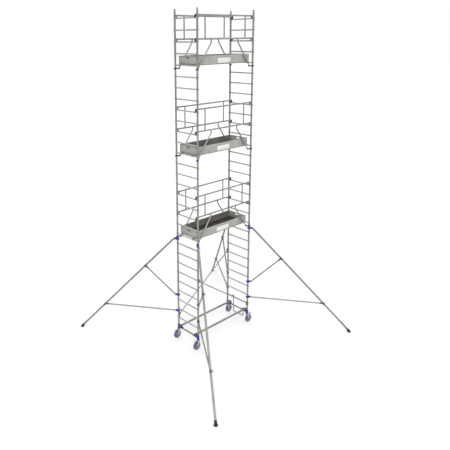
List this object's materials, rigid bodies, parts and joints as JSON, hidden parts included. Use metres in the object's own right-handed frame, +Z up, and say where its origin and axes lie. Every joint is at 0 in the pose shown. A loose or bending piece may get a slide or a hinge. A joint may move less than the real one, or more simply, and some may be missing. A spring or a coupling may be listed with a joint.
{
  "type": "mobile tower scaffold",
  "caption": "Tall rolling aluminium tower scaffold with stacked ladder frames, hatched platforms, guardrails, castors and outrigger stabilisers.",
  "frame": {"origin": "middle of the tower's plan, on the floor", "axes": "+X along the platforms towards the side with the access stirrup, +Y towards the back, +Z up"},
  "size_m": [4.9818, 4.996, 8],
  "materials": {
    "tube_aluminium": "brushed",
    "board_aluminium": "satin",
    "blue_casting": "semi-gloss",
    "black_plastic": "matte",
    "brown_claw": "semi-gloss",
    "black_rubber": "matte",
    "blue_tread": "matte",
    "grey_wheel": "matte",
    "zinc": "satin",
    "dark_ply": "film-faced"
  },
  "bodies": {
    "tower": {"base_tubes": "tube_aluminium", "brace_claws": "brown_claw", "brace_tubes": "tube_aluminium", "castor_brackets": "blue_casting", "castor_stems": "zinc", "guardrails_1": "tube_aluminium", "guardrails_2": "tube_aluminium", "guardrails_3": "tube_aluminium", "ladder_left_1": "tube_aluminium", "ladder_left_2": "tube_aluminium", "ladder_left_3": "tube_aluminium", "ladder_left_4": "tube_aluminium", "ladder_right_1": "tube_aluminium", "ladder_right_2": "tube_aluminium", "ladder_right_3": "tube_aluminium", "ladder_right_4": "tube_aluminium", "platform_1_deck": "dark_ply", "platform_1_frame": "tube_aluminium", "platform_1_toeboards": "board_aluminium", "platform_2_deck": "dark_ply", "platform_2_frame": "tube_aluminium", "platform_2_toeboards": "board_aluminium", "platform_3_deck": "dark_ply", "platform_3_frame": "tube_aluminium", "platform_3_toeboards": "board_aluminium", "rail_clips": "blue_casting", "rail_hooks": "black_plastic", "stirrup": "tube_aluminium"},
    "castor_1_head": {"castor_1_fork": "zinc"},
    "castor_1_roller": {"castor_1_wheel": "grey_wheel", "castor_1_tyre": "blue_tread"},
    "castor_1_brake": {"castor_1_pedal": "zinc"},
    "castor_2_head": {"castor_2_fork": "zinc"},
    "castor_2_roller": {"castor_2_wheel": "grey_wheel", "castor_2_tyre": "blue_tread"},
    "castor_2_brake": {"castor_2_pedal": "zinc"},
    "castor_3_head": {"castor_3_fork": "zinc"},
    "castor_3_roller": {"castor_3_wheel": "grey_wheel", "castor_3_tyre": "blue_tread"},
    "castor_3_brake": {"castor_3_pedal": "zinc"},
    "castor_4_head": {"castor_4_fork": "zinc"},
    "castor_4_roller": {"castor_4_wheel": "grey_wheel", "castor_4_tyre": "blue_tread"},
    "castor_4_brake": {"castor_4_pedal": "zinc"},
    "hatch_1": {"platform_1_hatch": "dark_ply"},
    "hatch_2": {"platform_2_hatch": "dark_ply"},
    "hatch_3": {"platform_3_hatch": "dark_ply"},
    "stabiliser_1": {"stabiliser_1_tubes": "tube_aluminium", "stabiliser_1_clamps": "blue_casting", "stabiliser_1_foot": "black_rubber"},
    "stabiliser_2": {"stabiliser_2_tubes": "tube_aluminium", "stabiliser_2_clamps": "blue_casting", "stabiliser_2_foot": "black_rubber"},
    "stabiliser_3": {"stabiliser_3_tubes": "tube_aluminium", "stabiliser_3_clamps": "blue_casting", "stabiliser_3_foot": "black_rubber"},
    "stabiliser_4": {"stabiliser_4_tubes": "tube_aluminium", "stabiliser_4_clamps": "blue_casting", "stabiliser_4_foot": "black_rubber"}
  },
  "joints": [
    {"name": "castor_1_swivel", "type": "hinge", "parent": "tower", "child": "castor_1_head", "pos_m": [-0.9, -0.355, 0.2], "axis": [0, 0, 1], "continuous": true},
    {"name": "castor_1_spin", "type": "hinge", "parent": "castor_1_head", "child": "castor_1_roller", "pos_m": [-0.95, -0.355, 0.1], "axis": [0, 1, 0], "continuous": true},
    {"name": "castor_1_pedal_press", "type": "hinge", "parent": "castor_1_head", "child": "castor_1_brake", "pos_m": [-0.943, -0.355, 0.218], "axis": [0, -1, 0], "range_deg": [0, 8]},
    {"name": "castor_2_swivel", "type": "hinge", "parent": "tower", "child": "castor_2_head", "pos_m": [-0.9, 0.355, 0.2], "axis": [0, 0, 1], "continuous": true},
    {"name": "castor_2_spin", "type": "hinge", "parent": "castor_2_head", "child": "castor_2_roller", "pos_m": [-0.95, 0.355, 0.1], "axis": [0, 1, 0], "continuous": true},
    {"name": "castor_2_pedal_press", "type": "hinge", "parent": "castor_2_head", "child": "castor_2_brake", "pos_m": [-0.943, 0.355, 0.218], "axis": [0, -1, 0], "range_deg": [0, 8]},
    {"name": "castor_3_swivel", "type": "hinge", "parent": "tower", "child": "castor_3_head", "pos_m": [0.9, -0.355, 0.2], "axis": [0, 0, 1], "continuous": true},
    {"name": "castor_3_spin", "type": "hinge", "parent": "castor_3_head", "child": "castor_3_roller", "pos_m": [0.95, -0.355, 0.1], "axis": [0, 1, 0], "continuous": true},
    {"name": "castor_3_pedal_press", "type": "hinge", "parent": "castor_3_head", "child": "castor_3_brake", "pos_m": [0.943, -0.355, 0.218], "axis": [0, 1, 0], "range_deg": [0, 8]},
    {"name": "castor_4_swivel", "type": "hinge", "parent": "tower", "child": "castor_4_head", "pos_m": [0.9, 0.355, 0.2], "axis": [0, 0, 1], "continuous": true},
    {"name": "castor_4_spin", "type": "hinge", "parent": "castor_4_head", "child": "castor_4_roller", "pos_m": [0.95, 0.355, 0.1], "axis": [0, 1, 0], "continuous": true},
    {"name": "castor_4_pedal_press", "type": "hinge", "parent": "castor_4_head", "child": "castor_4_brake", "pos_m": [0.943, 0.355, 0.218], "axis": [0, 1, 0], "range_deg": [0, 8]},
    {"name": "hatch_1_hinge", "type": "hinge", "parent": "tower", "child": "hatch_1", "pos_m": [0.425, 0.263, 2.853], "axis": [-1, 0, 0], "range_deg": [0, 90]},
    {"name": "hatch_2_hinge", "type": "hinge", "parent": "tower", "child": "hatch_2", "pos_m": [0.425, 0.263, 4.853], "axis": [-1, 0, 0], "range_deg": [0, 90]},
    {"name": "hatch_3_hinge", "type": "hinge", "parent": "tower", "child": "hatch_3", "pos_m": [0.425, 0.263, 6.853], "axis": [-1, 0, 0], "range_deg": [0, 90]},
    {"name": "stabiliser_1_swing", "type": "hinge", "parent": "tower", "child": "stabiliser_1", "pos_m": [-0.9, -0.355, 1.18], "axis": [0, 0, 1], "range_deg": [-35, 35]},
    {"name": "stabiliser_2_swing", "type": "hinge", "parent": "tower", "child": "stabiliser_2", "pos_m": [-0.9, 0.355, 1.18], "axis": [0, 0, 1], "range_deg": [-35, 35]},
    {"name": "stabiliser_3_swing", "type": "hinge", "parent": "tower", "child": "stabiliser_3", "pos_m": [0.9, -0.355, 1.18], "axis": [0, 0, 1], "range_deg": [-35, 35]},
    {"name": "stabiliser_4_swing", "type": "hinge", "parent": "tower", "child": "stabiliser_4", "pos_m": [0.9, 0.355, 1.18], "axis": [0, 0, 1], "range_deg": [-35, 35]}
  ]
}
